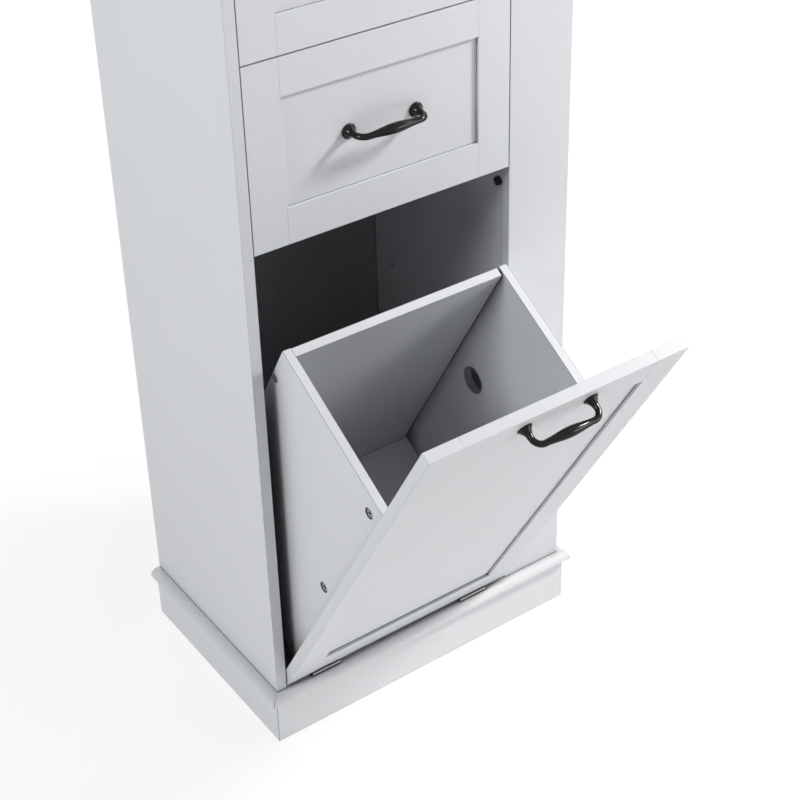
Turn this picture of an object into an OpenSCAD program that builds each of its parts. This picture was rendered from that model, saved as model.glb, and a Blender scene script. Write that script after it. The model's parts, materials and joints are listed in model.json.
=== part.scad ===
/* [Carcass] */
// Width of the body across its two side panels
body_w = 490; // [460:5:560]
// Depth of the body, front face to rear edge
body_d = 330; // [300:5:400]
// Thickness of the carcass boards and of the fronts
board_t = 15; // [14:0.5:18]
// Width of the plain stile right of the fronts
stile_w = 98; // [70:1:120]
// Height of the opening that the hamper closes
bay_h = 679; // [660:1:720]
// Thickness of the back panel
back_t = 5; // [3:0.5:7]
// Set-back of the back panel from the rear edges
back_inset = 13; // [6:1:18]
// Overhang of the top board at the front and sides
top_over = 15; // [5:1:25]

/* [Plinth] */
// Height of the plinth boards
plinth_h = 72.5; // [50:0.5:100]
// Thickness of the plinth boards
plinth_t = 15; // [12:0.5:18]
// How far the plinth boards stand proud of the body
plinth_out = 6; // [3:0.5:9]
// How far the cap moulding reaches out from the body
cap_out = 15.5; // [14:0.5:22]
// Height of the cap moulding, which is the floor panel's thickness
cap_h = 12; // [12:0.5:16]
// Radius of the cap moulding's rounded edge
cap_r = 10.5; // [7:0.5:11]

/* [Fronts] */
// Gap at each side of a front
side_gap = 1.25; // [1:0.25:3]
// Height of a drawer front
drawer_h = 237.5; // [205:0.5:260]
// Gap between the two drawer fronts
drawer_gap = 2; // [1.5:0.25:4]
// Gap between the door and the lower drawer front
door_gap = 3; // [2:0.25:5]
// Width of the stiles and rails of a front
frame_w = 48; // [36:1:60]
// Depth of the flat panel behind the frame's face
recess = 4; // [2:0.5:5]
// Thickness of the flat panel
panel_t = 6; // [4:0.5:7]
// Depth of the groove that holds the panel
groove = 8; // [4:0.5:12]

/* [Handles] */
// Distance between the handle's two screws
handle_cc = 96; // [64:1:128]
// Distance from the face to the middle of the handle's bar
handle_off = 25.5; // [23:0.5:34]
// Radius of the handle's foot
foot_r = 9.6; // [7:0.1:12]
// Height of the flared foot
foot_h = 10; // [7:0.5:10]
// Radius of the bar at its thin ends
bar_r = 4.1; // [3:0.1:4.2]
// Radius of the bar at the middle of its swell
swell_r = 6.7; // [4.5:0.1:7]
// Radius of the bend at the bar's ends
bend_r = 12; // [8:0.5:12]
// Radius of the handle screw
screw_r = 2; // [1.5:0.1:2.2]

/* [Drawer boxes] */
// Outside height of a drawer box
box_h = 150; // [110:5:155]
// Space between a drawer box and the back panel
box_clear = 22; // [14:1:40]
// Thickness of the drawer and hamper boards
thin_t = 12; // [10:0.5:14]
// Thickness of a drawer bottom
bottom_t = 4; // [3:0.5:6]
// Height of a drawer bottom above the box's lower edge
bottom_up = 10; // [6:1:16]
// Space beside a drawer box for its runner
runner_gap = 12.7; // [11.5:0.1:14]
// Height of the runner's outer channel
channel_h = 35; // [28:1:42]
// Thickness of the runner's steel
steel_t = 1.5; // [1.2:0.1:1.8]
// How much shorter a runner is than its drawer box
runner_short = 25; // [15:1:50]

/* [Hamper] */
// How far the hamper leans out when open, in degrees
tilt = 30.5; // [25:0.5:36]
// Distance of a hamper side from the door's edge
hamper_in = 17.25; // [15:0.25:24]
// Height of the hamper sides above the door's lower edge
hamper_h = 481; // [420:1:520]
// Space between the closed hamper and the back panel
hamper_clear = 50; // [40:1:90]
// Height of the hamper's lower edges above the door's lower edge
hamper_up = 14; // [8:1:24]
// Distance of the hamper back from the sides' rear edges
back_step = 1; // [0.5:0.25:3]
// Gap left at the right end of the hamper back
back_slack = 4; // [1:0.5:5]
// Radius of the hole in the hamper's right side
vent_r = 20; // [12:0.5:26]
// Radius of the cam locks that hold the sides to the door
cam_r = 7.5; // [5:0.5:8]

/* [Hinges and stops] */
// Length of a butt hinge
hinge_l = 45; // [35:1:60]
// Distance of a hinge from the door's side edge
hinge_in = 38.75; // [25:0.25:60]
// Radius of the hinge knuckle
knuckle_r = 2.2; // [2:0.05:2.4]
// Radius of the hinge pin
hinge_pin_r = 1.1; // [0.9:0.05:1.3]
// Thickness of a hinge leaf
leaf_t = 1.2; // [1:0.05:1.3]
// Width of a hinge leaf
leaf_w = 12.5; // [11:0.25:13.5]
// Number of knuckles on a hinge
knuckles = 9; // [3:2:11]
// Radius of the stop pegs in the bay
peg_r = 6; // [4:0.5:8]
// Length of the pegs that stop the open hamper
peg_l = 12; // [9:0.5:13]
// Length of the pegs that the shut door rests on
rest_l = 5; // [4:0.5:8]
// Radius of the studs on the hamper sides that meet the pegs
stud_r = 4; // [3:0.5:6]

/* [Hidden] */
fine = 64;

// Overrun that lets a cut pass clean through a face
cut = 1;
// Gaps between pieces that move past each other
stop_play = 0.3;
slide_play = 0.6;
pin_play = 0.05;
leaf_play = 0.1;
knuckle_play = 0.15;

// Body: x is 0 at mid width, y is 0 at the front face, z is 0 at the floor
left_x = -body_w / 2;
right_x = body_w / 2;
bay_left = left_x + board_t;
bay_right = right_x - stile_w;
bay_w = bay_right - bay_left;
bay_mid = (bay_left + bay_right) / 2;
base_z = plinth_h + cap_h;
back_y = body_d - back_inset - back_t;

// Levels of the fronts
door_up = 2 * leaf_t + leaf_play;
door_z = base_z + door_up;
lower_z = base_z + bay_h;
door_h = lower_z - door_gap - door_z;
upper_z = lower_z + drawer_h + drawer_gap;
top_z = upper_z + drawer_h + side_gap;
front_w = bay_w - 2 * side_gap;
front_x = bay_left + side_gap;

// Board above the bay
ceiling_up = 2;
ceiling_back = 1.5;

// Drawer box behind its front
box_d = back_y - board_t - box_clear;
box_x = bay_left + runner_gap;
box_w = bay_w - 2 * runner_gap;
box_up = (drawer_h - box_h) / 2;
bottom_groove = 4;

// Runners: an outer channel on the carcass, an inner channel on the drawer
runner_in = 5;
runner_l = box_d - runner_short;
channel_t = runner_gap - 1;
channel_up = box_up + (box_h - channel_h) / 2;
slider_h = channel_h - 2 * steel_t - 2 * slide_play;
slider_t = runner_gap - steel_t - slide_play;
slider_up = channel_up + steel_t + slide_play;

// Hinge axis, and the hamper in its closed position
hinge_y = -knuckle_r - stop_play;
hinge_z = base_z + knuckle_r + knuckle_play;
hinge_x = [front_x + hinge_in, front_x + front_w - hinge_in - hinge_l];
leaf_y = stop_play;
ham_left = front_x + hamper_in;
ham_right = front_x + front_w - hamper_in;
hamper_d = back_y - board_t - hamper_clear;
ham_back = board_t + hamper_d;
ham_top = door_z + hamper_h;
ham_low = door_z + hamper_up;
ham_back_y = ham_back - back_step - thin_t;

// Cam locks, their bolts and the back's screws, by height above the door's edge
cam_end = 27;
cam_share = 0.484;
cam_rows = [hamper_up + cam_end, hamper_h * cam_share, hamper_h - cam_end];
cam_in = 27;
cam_y = board_t + cam_in;
cam_t = 9;
cam_slot_deep = 2;
cam_slot_w = 1.6;
cam_slot_share = 0.72;
bolt_r = 3;
bolt_in = 8;
back_screw_low = 76;
back_screw_high = 55;
back_screw_rows = [hamper_up + back_screw_low, hamper_h - back_screw_high];
back_screw_r = 2;
back_head_r = 5.5;
back_head_h = 3.5;
back_head_sunk = 1;
head_slot_deep = 2;
head_slot_w = 1;
head_slot_arm = 2.2;
back_screw_l = 40;

// Vent hole in the right side
vent_up = hamper_h * 0.569;
vent_in = 57.5;

// Small machine and wood screws
pan_r = 4;
pan_h = 2.4;
leaf_screw_r = 1.2;
leaf_screw_l = 9;
leaf_screw_share = 0.17;
leaf_screw_back = 1;

// Stop pegs have a thinner spigot seated in the board behind them
spigot_r = 2.5;
spigot_l = 8;
stud_l = 12;
stud_up = 60;
stud_in = 22;
door_peg_down = 29;

// The stud swings with the hamper and meets its peg when the hamper is open
stud_dy = ham_back - stud_in - hinge_y;
stud_dz = door_z + stud_up - hinge_z;
stud_reach = norm([stud_dy, stud_dz]);
stud_angle = atan2(stud_dz, stud_dy) + tilt;
peg_angle = stud_angle + 2 * asin((peg_r + stud_r + stop_play) / (2 * stud_reach));
tilt_peg_y = hinge_y + stud_reach * cos(peg_angle);
tilt_peg_z = hinge_z + stud_reach * sin(peg_angle);
door_peg_y = board_t + peg_r + stop_play;
door_peg_z = lower_z - door_peg_down;

// Pilot holes in the partition
pilot_r = 2;
pilot_in = 8;
pilot_back = 41;
pilot_rows = [345.5, 406];

// A box from its low corner and its size
module block(at, size) {
    translate(at) cube(size);
}

// Round bars along the three axes, from the given start
module rod_x(at, r, l) {
    translate(at) rotate([0, 90, 0]) cylinder(r = r, h = l, $fn = fine);
}

module rod_y(at, r, l) {
    translate(at) rotate([-90, 0, 0]) cylinder(r = r, h = l, $fn = fine);
}

module rod_z(at, r, l) {
    translate(at) cylinder(r = r, h = l, $fn = fine);
}

// Leans the closed hamper out about its hinge axis
module leaning() {
    translate([0, hinge_y, hinge_z]) rotate([tilt, 0, 0]) translate([0, -hinge_y, -hinge_z]) children();
}

// A peg of the given length on each bay wall, and the bores for their spigots
module wall_pegs(y, z, l) {
    rod_x([bay_left, y, z], peg_r, l);
    rod_x([bay_left - spigot_l, y, z], spigot_r, spigot_l + l / 2);
    rod_x([bay_right - l, y, z], peg_r, l);
    rod_x([bay_right - l / 2, y, z], spigot_r, spigot_l + l / 2);
}

module left_peg_bore(y, z) {
    rod_x([bay_left - spigot_l, y, z], spigot_r, spigot_l + cut);
}

module right_peg_bore(y, z) {
    rod_x([bay_right - cut, y, z], spigot_r, spigot_l + cut);
}

// Carcass boards

module left_side_panel() {
    color("gainsboro") difference() {
        block([left_x, 0, plinth_h], [board_t, body_d, top_z - plinth_h]);
        left_peg_bore(door_peg_y, door_peg_z);
        left_peg_bore(tilt_peg_y, tilt_peg_z);
    }
}

module right_side_panel() {
    color("gainsboro")
        block([right_x - board_t, board_t, plinth_h], [board_t, body_d - board_t, top_z - plinth_h]);
}

module bay_partition() {
    color("gainsboro") difference() {
        block([bay_right, board_t, base_z], [board_t, back_y - board_t, top_z - base_z]);
        right_peg_bore(door_peg_y, door_peg_z);
        right_peg_bore(tilt_peg_y, tilt_peg_z);
        for (up = pilot_rows)
            rod_x([bay_right - cut, back_y - pilot_back, base_z + up], pilot_r, pilot_in + cut);
    }
}

module right_stile() {
    color("gainsboro") block([bay_right, 0, plinth_h], [stile_w, board_t, top_z - plinth_h]);
}

module back_panel() {
    color("silver") block([bay_left, back_y, base_z], [body_w - 2 * board_t, back_t, top_z - base_z]);
}

module top_panel() {
    color("gainsboro")
        block([left_x - top_over, -top_over, top_z], [body_w + 2 * top_over, body_d + top_over, board_t]);
}

module floor_panel() {
    color("gainsboro") difference() {
        block([bay_left, 0, plinth_h], [body_w - 2 * board_t, body_d, cap_h]);
        block([bay_right, -cut, plinth_h - cut], [stile_w + cut, board_t + cut, cap_h + 2 * cut]);
        for (x = hinge_x) leaf_screws(x, base_z + leaf_t, -1);
    }
}

module bay_ceiling() {
    color("gainsboro") block([bay_left, board_t + ceiling_back, lower_z + ceiling_up],
        [bay_w, back_y - board_t - ceiling_back, board_t]);
}

// Plinth: a mitred ring of boards with a rounded cap moulding on top

// Everything in front of the 45 degree planes through the two front corners
module mitre(out, up, h) {
    reach = body_w / 2 + out;
    translate([0, -out, up - cut]) linear_extrude(h + 2 * cut)
        polygon([[-reach - 2 * cut, -2 * cut], [0, reach], [reach + 2 * cut, -2 * cut]]);
}

module plinth_front() {
    color("gainsboro") intersection() {
        block([left_x - plinth_out, -plinth_out, 0], [body_w + 2 * plinth_out, plinth_t, plinth_h]);
        mitre(plinth_out, 0, plinth_h);
    }
}

module plinth_left() {
    color("gainsboro") difference() {
        block([left_x - plinth_out, -plinth_out, 0], [plinth_t, body_d + plinth_out, plinth_h]);
        mitre(plinth_out, 0, plinth_h);
    }
}

module plinth_right() {
    mirror([1, 0, 0]) plinth_left();
}

module plinth_back_rail() {
    run = body_w + 2 * plinth_out - 2 * plinth_t;
    color("gainsboro") block([-run / 2, body_d - plinth_t, 0], [run, plinth_t, plinth_h]);
}

// Removes the corner of a moulding that runs along X at the front
module cap_round_front() {
    run = body_w + 2 * cap_out + 2 * cut;
    difference() {
        block([-run / 2, -cap_out - cut, base_z - cap_r], [run, cap_r + cut, cap_r + cut]);
        rod_x([-run / 2 - cut, -cap_out + cap_r, base_z - cap_r], cap_r, run + 2 * cut);
    }
}

// Removes the corner of a moulding that runs along Y at the left
module cap_round_left() {
    run = body_d + cap_out + 2 * cut;
    difference() {
        block([left_x - cap_out - cut, -cap_out - cut, base_z - cap_r], [cap_r + cut, run, cap_r + cut]);
        rod_y([left_x - cap_out + cap_r, -cap_out - 2 * cut, base_z - cap_r], cap_r, run + 2 * cut);
    }
}

module cap_moulding_front() {
    color("whitesmoke") intersection() {
        difference() {
            block([left_x - cap_out, -cap_out, plinth_h], [body_w + 2 * cap_out, cap_out, cap_h]);
            cap_round_front();
        }
        mitre(cap_out, plinth_h, cap_h);
    }
}

module cap_moulding_left() {
    color("whitesmoke") difference() {
        block([left_x - cap_out, -cap_out, plinth_h], [cap_out, body_d + cap_out, cap_h]);
        cap_round_left();
        mitre(cap_out, plinth_h, cap_h);
    }
}

module cap_moulding_right() {
    mirror([1, 0, 0]) cap_moulding_left();
}

// Runners: C sections, nested, with the outer channel closed at its rear end

module left_channel(up) {
    y = board_t + runner_in;
    difference() {
        block([bay_left, y, up + channel_up], [channel_t, runner_l + steel_t + stop_play, channel_h]);
        block([bay_left + steel_t, y - cut, up + channel_up + steel_t],
            [channel_t, runner_l + stop_play + cut, channel_h - 2 * steel_t]);
    }
}

module left_slider(up) {
    y = board_t + runner_in;
    x = box_x - slider_t;
    difference() {
        block([x, y, up + slider_up], [slider_t, runner_l, slider_h]);
        block([x - cut, y - cut, up + slider_up + steel_t],
            [slider_t - steel_t + cut, runner_l + 2 * cut, slider_h - 2 * steel_t]);
    }
}

// Both sides of the bay: the given left shape and its mirror image
module both_walls() {
    children();
    translate([bay_mid, 0, 0]) mirror([1, 0, 0]) translate([-bay_mid, 0, 0]) children();
}

module upper_runner_channels() {
    color("darkgray") both_walls() left_channel(upper_z);
}

module lower_runner_channels() {
    color("darkgray") both_walls() left_channel(lower_z);
}

module door_stop_pegs() {
    color("dimgray") wall_pegs(door_peg_y, door_peg_z, rest_l);
}

module tilt_stop_pegs() {
    color("dimgray") wall_pegs(tilt_peg_y, tilt_peg_z, peg_l);
}

// Butt hinges, in the closed position

// Two countersunk screws of a leaf; way is 1 for up into the door, -1 for down
module leaf_screws(x, z, way) {
    for (share = [leaf_screw_share, 1 - leaf_screw_share])
        translate([x + hinge_l * share, (leaf_y + leaf_w) / 2 + leaf_screw_back, z]) scale([1, 1, way]) {
            cylinder(r1 = leaf_screw_r + leaf_t, r2 = leaf_screw_r, h = leaf_t, $fn = fine);
            cylinder(r = leaf_screw_r, h = leaf_screw_l, $fn = fine);
        }
}

// Every second knuckle of a hinge: the even ones are fixed, the odd ones turn
module knuckle_bars(x, odd, play) {
    l = hinge_l / knuckles;
    for (i = [0 : knuckles - 1])
        if (i % 2 == odd)
            rod_x([x + i * l + play, hinge_y, hinge_z], knuckle_r, l - 2 * play);
}

module knuckle_tongues(x, z, odd, play) {
    l = hinge_l / knuckles;
    for (i = [0 : knuckles - 1])
        if (i % 2 == odd)
            block([x + i * l + play, hinge_y, z], [l - 2 * play, leaf_y - hinge_y + cut, leaf_t]);
}

module lower_leaf(x) {
    difference() {
        union() {
            block([x, leaf_y, base_z], [hinge_l, leaf_w - leaf_y, leaf_t]);
            knuckle_bars(x, 0, 0);
            knuckle_tongues(x, base_z, 0, 0);
        }
        rod_x([x - cut, hinge_y, hinge_z], hinge_pin_r, hinge_l + 2 * cut);
        leaf_screws(x, base_z + leaf_t, -1);
    }
}

module upper_leaf(x) {
    difference() {
        union() {
            block([x, leaf_y, door_z - leaf_t], [hinge_l, leaf_w - leaf_y, leaf_t]);
            knuckle_bars(x, 1, knuckle_play);
            knuckle_tongues(x, door_z - leaf_t, 1, knuckle_play);
        }
        rod_x([x - cut, hinge_y, hinge_z], hinge_pin_r + pin_play, hinge_l + 2 * cut);
        leaf_screws(x, door_z - leaf_t, 1);
    }
}

module hinge_lower_leaves() {
    color("silver") for (x = hinge_x) lower_leaf(x);
}

module hinge_pins() {
    color("gray") for (x = hinge_x) rod_x([x, hinge_y, hinge_z], hinge_pin_r, hinge_l);
}

module hinge_lower_screws() {
    color("gray") for (x = hinge_x) leaf_screws(x, base_z + leaf_t, -1);
}

module hinge_upper_leaves() {
    color("silver") leaning() for (x = hinge_x) upper_leaf(x);
}

module hinge_upper_screws() {
    color("gray") leaning() for (x = hinge_x) leaf_screws(x, door_z - leaf_t, 1);
}

// Framed fronts, seen as the opening front of width front_w and height h at level z

module front_panel_block(z, h) {
    block([front_x + frame_w - groove, recess, z + frame_w - groove],
        [front_w - 2 * frame_w + 2 * groove, panel_t, h - 2 * frame_w + 2 * groove]);
}

module front_stiles(z, h) {
    difference() {
        union() {
            block([front_x, 0, z], [frame_w, board_t, h]);
            block([front_x + front_w - frame_w, 0, z], [frame_w, board_t, h]);
        }
        front_panel_block(z, h);
    }
}

module front_rail(z, panel_z, panel_h) {
    difference() {
        block([front_x + frame_w, 0, z], [front_w - 2 * frame_w, board_t, frame_w]);
        front_panel_block(panel_z, panel_h);
    }
}

module front_rails(z, h) {
    front_rail(z, z, h);
    front_rail(z + h - frame_w, z, h);
}

// Handle: two flared feet, bent legs and a swelling bar; y is its mounting face

foot_step = 2;
foot_rim = 1;
foot_lip = 0.3;
flare_bow = 1.5;
flare_steps = 10;
swell_steps = 16;
handle_bore = 10;

module handle_foot() {
    neck = bar_r + foot_lip;
    flare = foot_r - foot_rim - neck;
    rotate([90, 0, 0]) rotate_extrude($fn = fine) polygon(concat(
        [[0, 0], [foot_r, 0], [foot_r, foot_step]],
        [for (i = [0 : flare_steps]) [
            neck + flare * pow(1 - i / flare_steps, flare_bow),
            foot_step + (foot_h - foot_step) * i / flare_steps]],
        [[0, foot_h]]));
}

module handle_half() {
    translate([handle_cc / 2, 0, 0]) handle_foot();
    rod_y([handle_cc / 2, bend_r - handle_off, 0], bar_r, handle_off - bend_r);
    translate([handle_cc / 2 - bend_r, bend_r - handle_off, 0]) rotate([0, 0, -90])
        rotate_extrude(angle = 90, $fn = fine) translate([bend_r, 0]) circle(r = bar_r, $fn = fine);
}

module handle_bar() {
    l = handle_cc - 2 * bend_r;
    translate([-l / 2, -handle_off, 0]) rotate([0, 90, 0]) rotate_extrude($fn = fine) polygon(concat(
        [[0, 0]],
        [for (i = [0 : swell_steps])
            [bar_r + (swell_r - bar_r) * pow(sin(180 * i / swell_steps), 2), l * i / swell_steps]],
        [[0, l]]));
}

module handle_at(y, z) {
    color("black") translate([bay_mid, y, z]) difference() {
        union() {
            handle_half();
            mirror([1, 0, 0]) handle_half();
            handle_bar();
        }
        for (side = [-1, 1]) rod_y([side * handle_cc / 2, -handle_bore, 0], screw_r, handle_bore + cut);
    }
}

// Screws of a handle: a shank through the front and a pan head on its back at rear_y
module handle_screws_at(y, z, rear_y) {
    for (side = [-1, 1]) {
        x = bay_mid + side * handle_cc / 2;
        rod_y([x, y - handle_bore, z], screw_r, rear_y - y + handle_bore + pan_h / 2);
        rod_y([x, rear_y, z], pan_r, pan_h);
    }
}

module handle_holes_at(z) {
    for (side = [-1, 1]) rod_y([bay_mid + side * handle_cc / 2, -cut, z], screw_r, board_t + 2 * cut);
}

// A drawer, given the level of its front's lower edge

module drawer_stiles(z) {
    color("whitesmoke") front_stiles(z, drawer_h);
}

module drawer_rails(z) {
    color("whitesmoke") front_rails(z, drawer_h);
}

module drawer_panel(z) {
    color("gainsboro") difference() {
        front_panel_block(z, drawer_h);
        handle_holes_at(z + drawer_h / 2);
    }
}

module drawer_bottom_block(z) {
    block([box_x + thin_t - bottom_groove, board_t, z + box_up + bottom_up],
        [box_w - 2 * thin_t + 2 * bottom_groove, box_d - thin_t + bottom_groove, bottom_t]);
}

module drawer_side(z, x) {
    color("white") difference() {
        block([x, board_t, z + box_up], [thin_t, box_d, box_h]);
        drawer_bottom_block(z);
    }
}

module drawer_back(z) {
    color("white") difference() {
        block([box_x + thin_t, board_t + box_d - thin_t, z + box_up], [box_w - 2 * thin_t, thin_t, box_h]);
        drawer_bottom_block(z);
    }
}

module drawer_bottom(z) {
    color("silver") drawer_bottom_block(z);
}

module drawer_sliders(z) {
    color("darkgray") both_walls() left_slider(z);
}

module drawer_handle_screws(z) {
    color("silver") handle_screws_at(recess, z + drawer_h / 2, recess + panel_t);
}

module upper_drawer_stiles() {
    drawer_stiles(upper_z);
}

module upper_drawer_rails() {
    drawer_rails(upper_z);
}

module upper_drawer_panel() {
    drawer_panel(upper_z);
}

module upper_drawer_side_left() {
    drawer_side(upper_z, box_x);
}

module upper_drawer_side_right() {
    drawer_side(upper_z, box_x + box_w - thin_t);
}

module upper_drawer_back() {
    drawer_back(upper_z);
}

module upper_drawer_bottom() {
    drawer_bottom(upper_z);
}

module upper_drawer_runners() {
    drawer_sliders(upper_z);
}

module upper_drawer_handle() {
    handle_at(recess, upper_z + drawer_h / 2);
}

module upper_drawer_handle_screws() {
    drawer_handle_screws(upper_z);
}

module lower_drawer_stiles() {
    drawer_stiles(lower_z);
}

module lower_drawer_rails() {
    drawer_rails(lower_z);
}

module lower_drawer_panel() {
    drawer_panel(lower_z);
}

module lower_drawer_side_left() {
    drawer_side(lower_z, box_x);
}

module lower_drawer_side_right() {
    drawer_side(lower_z, box_x + box_w - thin_t);
}

module lower_drawer_back() {
    drawer_back(lower_z);
}

module lower_drawer_bottom() {
    drawer_bottom(lower_z);
}

module lower_drawer_runners() {
    drawer_sliders(lower_z);
}

module lower_drawer_handle() {
    handle_at(recess, lower_z + drawer_h / 2);
}

module lower_drawer_handle_screws() {
    drawer_handle_screws(lower_z);
}

// Door and hamper, made in the closed position and leant out as one

door_handle_z = door_z + door_h - frame_w / 2;

module all_cam_bolts() {
    for (up = cam_rows, x = [ham_left, ham_right - thin_t])
        rod_y([x + thin_t / 2, board_t - bolt_in, door_z + up], bolt_r, cam_y - cam_r - board_t + bolt_in);
}

module door_stiles() {
    color("whitesmoke") leaning() difference() {
        front_stiles(door_z, door_h);
        all_cam_bolts();
        for (x = hinge_x) leaf_screws(x, door_z - leaf_t, 1);
    }
}

module door_rail_top() {
    color("whitesmoke") leaning() difference() {
        front_rail(door_z + door_h - frame_w, door_z, door_h);
        handle_holes_at(door_handle_z);
    }
}

module door_rail_bottom() {
    color("whitesmoke") leaning() difference() {
        front_rail(door_z, door_z, door_h);
        for (x = hinge_x) leaf_screws(x, door_z - leaf_t, 1);
    }
}

module door_panel() {
    color("gainsboro") leaning() front_panel_block(door_z, door_h);
}

// One cam lock in its pocket: face_x is the side's outer face, way points inward
module cam_lock(face_x, way, up) {
    translate([face_x, cam_y, door_z + up]) rotate([0, 90, 0]) scale([1, 1, way])
        cylinder(r = cam_r, h = cam_t, $fn = fine);
}

module cam_locks() {
    for (up = cam_rows) {
        cam_lock(ham_left, 1, up);
        cam_lock(ham_right, -1, up);
    }
}

// Cross slots in the cams' outer faces
module cam_slots() {
    arm = cam_r * cam_slot_share;
    for (up = cam_rows, x = [ham_left - cut, ham_right - cam_slot_deep]) {
        block([x, cam_y - arm, door_z + up - cam_slot_w / 2], [cam_slot_deep + cut, 2 * arm, cam_slot_w]);
        block([x, cam_y - cam_slot_w / 2, door_z + up - arm], [cam_slot_deep + cut, cam_slot_w, 2 * arm]);
    }
}

// Screw through a side into the hamper back's end, with a sunk countersunk head
module back_screw(face_x, way, up) {
    translate([face_x, ham_back_y + thin_t / 2, door_z + up]) rotate([0, 90, 0]) scale([1, 1, way]) {
        translate([0, 0, back_head_sunk])
            cylinder(r1 = back_head_r, r2 = back_screw_r, h = back_head_h, $fn = fine);
        translate([0, 0, back_head_sunk]) cylinder(r = back_screw_r, h = back_screw_l, $fn = fine);
    }
}

module back_screws() {
    for (up = back_screw_rows) {
        back_screw(ham_left, 1, up);
        back_screw(ham_right, -1, up);
    }
}

// Screws and the open counterbore above their heads
module back_screw_bores() {
    back_screws();
    for (up = back_screw_rows, x = [ham_left - cut, ham_right - back_head_sunk])
        rod_x([x, ham_back_y + thin_t / 2, door_z + up], back_head_r, back_head_sunk + cut);
}

module studs() {
    y = ham_back - stud_in;
    z = door_z + stud_up;
    rod_x([ham_left - stud_l, y, z], stud_r, stud_l);
    rod_x([ham_left - stud_l / 2, y, z], stud_r / 2, stud_l / 2 + thin_t / 2);
    rod_x([ham_right, y, z], stud_r, stud_l);
    rod_x([ham_right - thin_t / 2, y, z], stud_r / 2, stud_l / 2 + thin_t / 2);
}

module hamper_side_blank(x) {
    difference() {
        block([x, board_t, ham_low], [thin_t, hamper_d, hamper_h - hamper_up]);
        cam_locks();
        all_cam_bolts();
        back_screw_bores();
        studs();
    }
}

module hamper_side_left() {
    color("gainsboro") leaning() hamper_side_blank(ham_left);
}

module hamper_side_right() {
    color("gainsboro") leaning() difference() {
        hamper_side_blank(ham_right - thin_t);
        rod_x([ham_right - thin_t - cut, ham_back - vent_in, door_z + vent_up], vent_r, thin_t + 2 * cut);
    }
}

module hamper_back() {
    inner = ham_right - ham_left - 2 * thin_t;
    color("gainsboro") leaning() difference() {
        block([ham_left + thin_t, ham_back_y, ham_low + thin_t],
            [inner - back_slack, thin_t, ham_top - ham_low - thin_t]);
        back_screws();
    }
}

module hamper_bottom() {
    inner = ham_right - ham_left - 2 * thin_t;
    color("gainsboro") leaning()
        block([ham_left + thin_t, board_t, ham_low], [inner, ham_back_y + thin_t - board_t, thin_t]);
}

module hamper_cam_locks() {
    color("silver") leaning() difference() {
        cam_locks();
        cam_slots();
    }
}

module hamper_cam_bolts() {
    color("gray") leaning() all_cam_bolts();
}

module hamper_back_screws() {
    arm = head_slot_arm;
    deep = back_head_sunk + head_slot_deep;
    y = ham_back_y + thin_t / 2;
    color("silver") leaning() difference() {
        back_screws();
        for (up = back_screw_rows, x = [ham_left, ham_right - deep]) {
            block([x, y - arm, door_z + up - head_slot_w / 2], [deep, 2 * arm, head_slot_w]);
            block([x, y - head_slot_w / 2, door_z + up - arm], [deep, head_slot_w, 2 * arm]);
        }
    }
}

module tilt_stop_studs() {
    color("dimgray") leaning() studs();
}

module door_handle() {
    leaning() handle_at(0, door_handle_z);
}

module door_handle_screws() {
    color("silver") leaning() handle_screws_at(0, door_handle_z, board_t);
}

left_side_panel();
right_side_panel();
bay_partition();
right_stile();
back_panel();
top_panel();
floor_panel();
bay_ceiling();
plinth_front();
plinth_left();
plinth_right();
plinth_back_rail();
cap_moulding_front();
cap_moulding_left();
cap_moulding_right();
upper_runner_channels();
lower_runner_channels();
door_stop_pegs();
tilt_stop_pegs();
hinge_lower_leaves();
hinge_pins();
hinge_lower_screws();
upper_drawer_stiles();
upper_drawer_rails();
upper_drawer_panel();
upper_drawer_side_left();
upper_drawer_side_right();
upper_drawer_back();
upper_drawer_bottom();
upper_drawer_runners();
upper_drawer_handle();
upper_drawer_handle_screws();
lower_drawer_stiles();
lower_drawer_rails();
lower_drawer_panel();
lower_drawer_side_left();
lower_drawer_side_right();
lower_drawer_back();
lower_drawer_bottom();
lower_drawer_runners();
lower_drawer_handle();
lower_drawer_handle_screws();
door_stiles();
door_rail_top();
door_rail_bottom();
door_panel();
hamper_side_left();
hamper_side_right();
hamper_back();
hamper_bottom();
hamper_cam_locks();
hamper_cam_bolts();
hamper_back_screws();
tilt_stop_studs();
hinge_upper_leaves();
hinge_upper_screws();
door_handle();
door_handle_screws();
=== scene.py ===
"""Looks of a narrow laundry cabinet: a tilt-out hamper behind a framed door, with two framed drawers above.

Lengths are in metres in the cabinet's own frame: x is 0 at mid width, y is 0 at the front face, z is 0 at the
floor, and the fronts face -Y. At rest the door stands open and leans out about its two butt hinges. Pieces of
the door and hamper are made upright, as if the door were shut, and are then leant out as one.
"""

from __future__ import annotations

import json  # noqa: E402
import logging  # noqa: E402
import math  # noqa: E402
from collections.abc import Callable, Iterable  # noqa: E402
from dataclasses import dataclass, replace  # noqa: E402
from enum import Enum  # noqa: E402
from functools import reduce  # noqa: E402

import bmesh  # noqa: E402
import bpy  # noqa: E402
from mathutils import Matrix, Vector  # noqa: E402

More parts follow.
